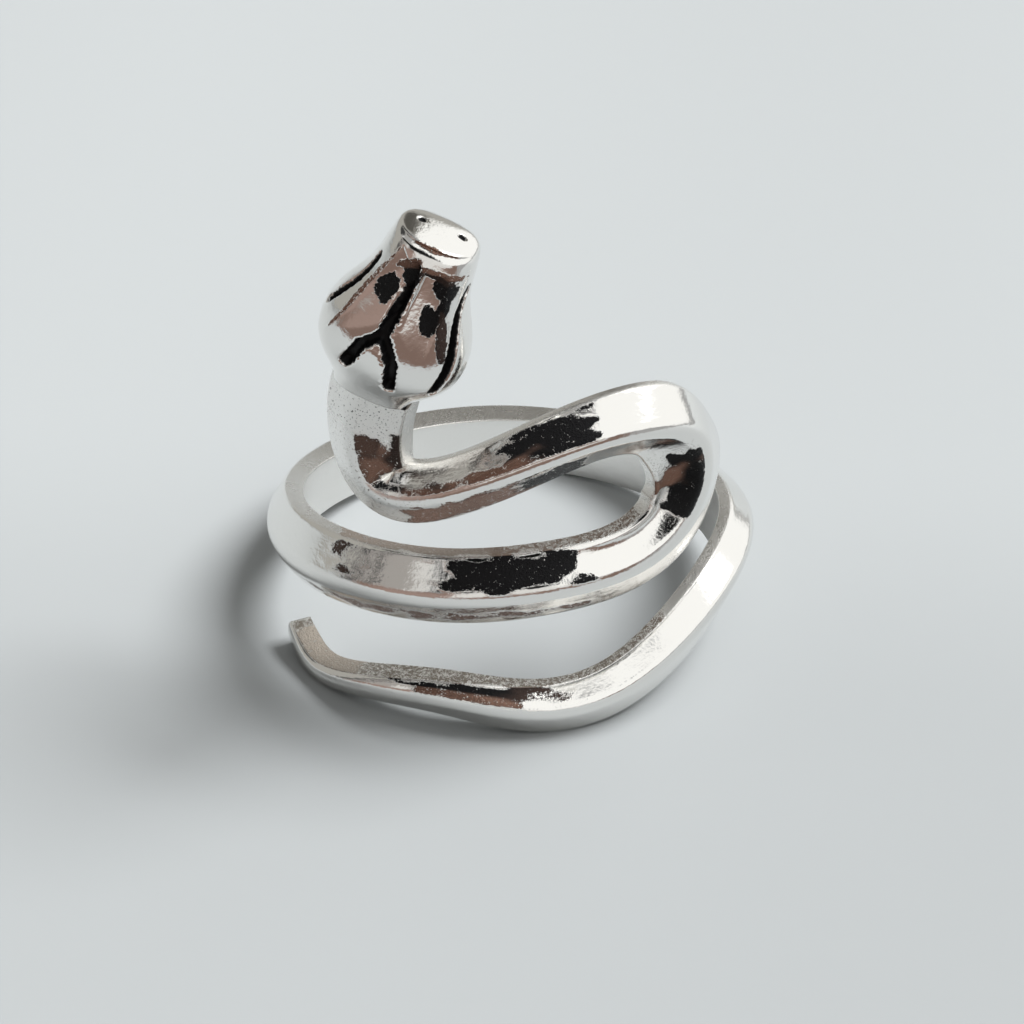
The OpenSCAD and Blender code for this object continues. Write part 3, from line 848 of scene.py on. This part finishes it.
class TreeMaker:
    """Makes and links the nodes of one node tree."""

    def __init__(self, tree):
        self.nodes, self.links = tree.nodes, tree.links

    def feed(self, socket, value):
        """Links a socket to another one, or sets it to a plain value."""
        if isinstance(value, bpy.types.NodeSocket):
            self.links.new(value, socket)
        else:
            socket.default_value = value

    def node(self, kind, *values, **settings):
        """New node with its settings, and with values or links in its first sockets."""
        node = self.nodes.new(kind)
        for key, setting in settings.items():
            setattr(node, key, setting)
        for socket, value in zip(node.inputs, values):
            self.feed(socket, value)
        return node

    def math(self, operation, *values, clamp=False):
        return self.node(
            "ShaderNodeMath", *values, operation=operation, use_clamp=clamp).outputs[0]

    def times(self, a, b):
        return self.math("MULTIPLY", a, b)

    def total(self, *values):
        total = values[0]
        for value in values[1:]:
            total = self.math("ADD", total, value)
        return total

    def ranged(self, value, low, high, *ends):
        """Smooth step from nothing to one, or between two ends, over a range of a value."""
        node = self.node("ShaderNodeMapRange", value, low, high, *ends)
        node.interpolation_type = "SMOOTHSTEP"
        return node.outputs["Result"]

    def mixed(self, factor, a, b):
        """Colour on the way from one colour to another."""
        node = self.node("ShaderNodeMix", factor, data_type="RGBA")
        self.feed(node.inputs["A"], a)
        self.feed(node.inputs["B"], b)
        return node.outputs["Result"]

    def bumped(self, height):
        """Which way a skin faces with bumps of a height in mm."""
        node = self.node("ShaderNodeBump")
        node.inputs["Distance"].default_value = MM
        node.inputs["Strength"].default_value = 1
        self.feed(node.inputs["Height"], height)
        return node.outputs["Normal"]

    def layer(self, name, output="Fac"):
        """What the points of the skin carry under a name."""
        return self.node("ShaderNodeAttribute", attribute_name=name).outputs[output]

    def parts(self, vector):
        """The X, Y and Z of a vector."""
        return self.node("ShaderNodeSeparateXYZ", vector).outputs

    def grained(self, place, per_unit, stretch=(1, 1, 1)):
        """Fine grain at a place, drawn out where its stretch is below one."""
        place = self.node("ShaderNodeVectorMath", place, stretch, operation="MULTIPLY").outputs[0]
        tree = bpy.data.node_groups.get("fine_grain") or fine_grain_group()
        node = self.node("ShaderNodeGroup", node_tree=tree)
        self.feed(node.inputs["Place"], place)
        self.feed(node.inputs["Per unit"], per_unit)
        return node.outputs["Grain"]


def fine_grain_group():
    """Even fine grain: a value about one half, with so many bumps per unit of the place."""
    group = bpy.data.node_groups.new("fine_grain", "ShaderNodeTree")
    for name, way, kind in (
            ("Place", "INPUT", "Vector"), ("Per unit", "INPUT", "Float"),
            ("Grain", "OUTPUT", "Float")):
        group.interface.new_socket(name, in_out=way, socket_type="NodeSocket" + kind)
    make = TreeMaker(group)
    source = make.node("NodeGroupInput").outputs
    texture = make.node("ShaderNodeTexNoise", source["Place"])
    make.feed(texture.inputs["Scale"], source["Per unit"])
    make.feed(texture.inputs["Detail"], GRAIN_DETAIL)
    make.feed(texture.inputs["Roughness"], GRAIN_ROUGHNESS)
    make.node("NodeGroupOutput", texture.outputs["Fac"])
    return group


def new_material(name):
    """A node material, the maker of its nodes and its shader."""
    material = bpy.data.materials.new(name)
    material.use_nodes = True
    make = TreeMaker(material.node_tree)
    return material, make, make.nodes["Principled BSDF"]


def opaque(colour, factor=1):
    """A colour made lighter or darker by a factor, with nothing shining through."""
    return (*[part * factor for part in colour], 1)


def black_marks(make, oxide, pits, ripple, speck):
    """Black of the cuts, with a ragged border, and of specks in the pits."""
    cut = make.ranged(make.total(oxide, make.times(ripple, CUT_RAGGED)), *CUT_BLACK)
    pit = make.times(pits, make.ranged(speck, *PIT_SPECKS))
    return make.math("MAXIMUM", cut, pit, clamp=True)


def dark_blotches(make, patina, ripple, fleck):
    """Blotches of patina and painted dark reflection that run together where the patches cover
    more.
    """
    level = make.total(make.times(ripple, BLOTCH_RIPPLE), make.times(fleck, BLOTCH_FLECK))
    cover = make.times(make.math("SUBTRACT", level, BLOTCH_LEVEL), patina)
    return make.ranged(cover, *BLOTCH_EDGE)


def silver_material(finish):
    """Polished silver with black cuts, patches of patina and painted dark reflection, some brown,
    and rims as cast.
    """
    material, make, shader = new_material("cast_silver")
    grain, matte, pits, patina, brown, oxide = (make.layer(name) for name in LAYERS)
    place = make.layer("place", "Vector")
    swell, ripple = make.grained(place, SWELL), make.grained(place, RIPPLE)
    speck, fleck = make.grained(place, SPECK), make.grained(place, FLECK)
    strokes = make.grained(place, STROKES, STROKE_STRETCH)
    black = black_marks(make, oxide, pits, ripple, speck)
    blotch = dark_blotches(make, patina, ripple, fleck)
    dark = make.math("MAXIMUM", black, blotch, clamp=True)

    # Dark colour of the cuts and patches: on the patches it is patina and painted dark reflection
    stain_and_dark_reflection = make.mixed(brown, opaque(finish.oxide), opaque(finish.brown))
    stain_and_dark_reflection = make.mixed(grain, stain_and_dark_reflection, opaque(finish.as_cast))
    make.feed(shader.inputs["Base Color"], make.mixed(dark, opaque(finish.silver), stain_and_dark_reflection))

    dull = make.math("SUBTRACT", BLACK_DULL, brown, clamp=True)
    make.feed(shader.inputs["Metallic"], make.math("SUBTRACT", 1, make.times(dark, dull)))

    satin = make.times(make.math("MAXIMUM", grain, matte), finish.satin - finish.polish)
    worn = make.times(make.ranged(swell, *WORN_SWELL), WORN_ROUGHER)
    rough = make.total(satin, finish.polish, worn, make.times(black, BLACK_ROUGHER))
    rough = make.math("ADD", rough, make.times(blotch, BLOTCH_ROUGHER), clamp=True)
    make.feed(shader.inputs["Roughness"], rough)

    cast = make.times(make.math("MAXIMUM", grain, make.times(pits, PIT_SHARE)), speck)
    height = make.total(
        make.times(ripple, RIPPLE_HEIGHT), make.times(swell, SWELL_HEIGHT),
        make.times(strokes, STROKE_HEIGHT), make.times(cast, CAST_HEIGHT),
        make.times(make.times(patina, speck), PATCH_HEIGHT), make.times(dark, -DARK_DEPTH))
    make.feed(shader.inputs["Normal"], make.bumped(height))
    shader.inputs["Specular IOR Level"].default_value = SILVER_SPECULAR
    return material


def table_material(studio):
    """Pale matt table with a painted light falloff: a little lighter far left and darker near
    right.
    """
    material, make, shader = new_material("pale_table")
    place = make.node("ShaderNodeTexCoord").outputs["Object"]
    parts, reach = make.parts(place), studio.painted_falloff_half
    # Painted light falloff: lighter towards the far left, darker towards the near right
    left = make.ranged(parts["X"], -reach, reach, 1, 0)
    far = make.ranged(parts["Y"], -reach / 3, reach / 2)
    light = make.total(
        make.times(make.total(left, far), (1 - TABLE_GRAIN_SHARE) / 2),
        make.times(make.grained(place, TABLE_GRAIN), TABLE_GRAIN_SHARE))
    darker = opaque(studio.table, 1 - studio.fade)
    lighter = opaque(studio.table, 1 + studio.fade)
    make.feed(shader.inputs["Base Color"], make.mixed(light, darker, lighter))
    shader.inputs["Roughness"].default_value = TABLE_ROUGHNESS
    shader.inputs["Specular IOR Level"].default_value = TABLE_SPECULAR
    return material


class RING_OT_casting(bpy.types.Operator):
    """Casts the coiled body and the head as one piece of silver."""
    bl_idname = "snake_ring.casting"
    bl_label = "Cast the ring"

    def execute(self, context):
        scene = context.scene
        ring, head = scene.ring_sizes, scene.head_sizes
        body, skull = body_mesh(ring), head_mesh(ring, head)
        seam_oxide(body, skull, SEAM_REACH)
        seam_oxide(skull, body, SEAM_REACH)
        mesh = joined(body, skull)
        mesh.name = "silver_casting"
        mesh.materials.clear()
        mesh.materials.append(silver_material(scene.silver_finish))
        mesh.shade_smooth()
        piece = bpy.data.objects.new("silver_casting", mesh)
        scene.collection.objects.link(piece)
        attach(piece, "root")
        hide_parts(NODE)
        return {"FINISHED"}


def studio_world():
    """Light of the studio's zones for the ring, and a plain backdrop for the camera."""
    world = bpy.data.worlds.new("studio")
    world.use_nodes = True
    world.node_tree.nodes.clear()
    make = TreeMaker(world.node_tree)
    way = make.parts(make.node("ShaderNodeTexCoord").outputs["Generated"])
    azimuth = make.times(make.math("ARCTAN2", way["Y"], way["X"]), math.degrees(1))
    elevation = make.times(make.math("ARCSINE", way["Z"]), math.degrees(1))
    colour = opaque((AMBIENT, AMBIENT, AMBIENT))
    half_turn = FULL_TURN / 2
    for middle, half, low, high, soft, *light in STUDIO_ZONES:
        away = make.math("SUBTRACT", azimuth, middle)
        away = make.math("MODULO", make.total(away, 2 * FULL_TURN + half_turn), FULL_TURN)
        away = make.math("ABSOLUTE", make.math("SUBTRACT", away, half_turn))
        side = make.ranged(away, half - soft, half + soft, 1, 0)
        above = make.ranged(elevation, low - soft, low + soft)
        below = make.ranged(elevation, high - soft, high + soft, 1, 0)
        inside = make.times(side, make.times(above, below))
        colour = make.mixed(inside, colour, opaque(light))
    lit = make.node("ShaderNodeBackground", colour).outputs[0]
    backdrop = make.node("ShaderNodeBackground", opaque(SEEN_BACKDROP)).outputs[0]
    by_camera = make.node("ShaderNodeLightPath").outputs["Is Camera Ray"]
    seen = make.node("ShaderNodeMixShader", by_camera, lit, backdrop)
    make.node("ShaderNodeOutputWorld", seen.outputs[0])
    return world


def studio_camera(studio):
    """Camera at the photo's angle."""
    camera = bpy.data.cameras.new("camera")
    camera.lens = studio.lens
    camera.sensor_width = SENSOR_WIDTH
    camera.shift_y = studio.shift
    camera.clip_start = NEAREST_SEEN
    back = Vector((0, -math.cos(studio.elevation), math.sin(studio.elevation)))
    right = Vector((1, 0, 0))
    up = back.cross(right)
    turned_right = right * math.cos(studio.roll) + up * math.sin(studio.roll)
    turned_up = up * math.cos(studio.roll) - right * math.sin(studio.roll)
    place = Vector((0, 0, studio.look_height)) + back * studio.distance
    item = bpy.data.objects.new("camera", camera)
    axes = Matrix((turned_right, turned_up, back)).transposed()
    item.matrix_world = Matrix.Translation(place) @ axes.to_4x4()
    return item


def key_lamp(studio):
    """Soft lamp that throws the ring's shadow and isn't seen in the silver."""
    lamp = bpy.data.lights.new("key", "AREA")
    lamp.shape = "DISK"
    lamp.size = studio.key_size
    lamp.energy = studio.key_power
    item = bpy.data.objects.new("key", lamp)
    level = math.cos(studio.key_elevation)
    away = Vector((math.cos(studio.key_azimuth) * level, math.sin(studio.key_azimuth) * level,
                   math.sin(studio.key_elevation)))
    item.location = away * studio.key_distance
    item.rotation_euler = away.to_track_quat("Z", "Y").to_euler()
    item.visible_glossy = False
    return item


class RING_OT_studio(bpy.types.Operator):
    """Sets the table, the light and the camera."""
    bl_idname = "snake_ring.studio"
    bl_label = "Set the studio"

    def execute(self, context):
        scene, studio = context.scene, context.scene.studio
        mesh = bpy.data.meshes.new("table")
        far, front = TABLE_REACH, studio.front_edge
        corners = [(-far, -front, 0), (far, -front, 0), (far, far, 0), (-far, far, 0)]
        mesh.from_pydata(corners, [], [(0, 1, 2, 3)])
        mesh.materials.append(table_material(studio))
        table = bpy.data.objects.new("table", mesh)
        scene.collection.objects.link(table)
        scene.world = studio_world()
        scene.view_settings.view_transform = "Standard"
        scene.collection.objects.link(key_lamp(studio))
        camera = studio_camera(studio)
        scene.collection.objects.link(camera)
        scene.camera = camera
        return {"FINISHED"}


class RING_PT_panel(bpy.types.Panel):
    """Buttons that build the ring and its studio."""
    bl_idname = "RING_PT_panel"
    bl_label = "Snake Ring"
    bl_space_type = "VIEW_3D"
    bl_region_type = "UI"
    bl_category = "Snake Ring"

    def draw(self, context):
        for operator in (RING_OT_casting, RING_OT_studio):
            self.layout.operator(operator.bl_idname)
        for group in GROUPS:
            settings = getattr(context.scene, group)
            box = self.layout.box()
            for name in settings.__annotations__:
                box.prop(settings, name)


GROUPS = {
    "ring_sizes": RingSizes, "head_sizes": HeadSizes, "silver_finish": SilverFinish,
    "studio": StudioSettings,
}
CLASSES = (*GROUPS.values(), RING_OT_casting, RING_OT_studio, RING_PT_panel)


def register():
    for item in CLASSES:
        bpy.utils.register_class(item)
    for name, group in GROUPS.items():
        setattr(bpy.types.Scene, name, PointerProperty(type=group))


def unregister():
    for name in GROUPS:
        delattr(bpy.types.Scene, name)
    for item in reversed(CLASSES):
        bpy.utils.unregister_class(item)


def main():
    register()
    bpy.ops.snake_ring.casting()
    bpy.ops.snake_ring.studio()


if __name__ == "__main__":
    main()
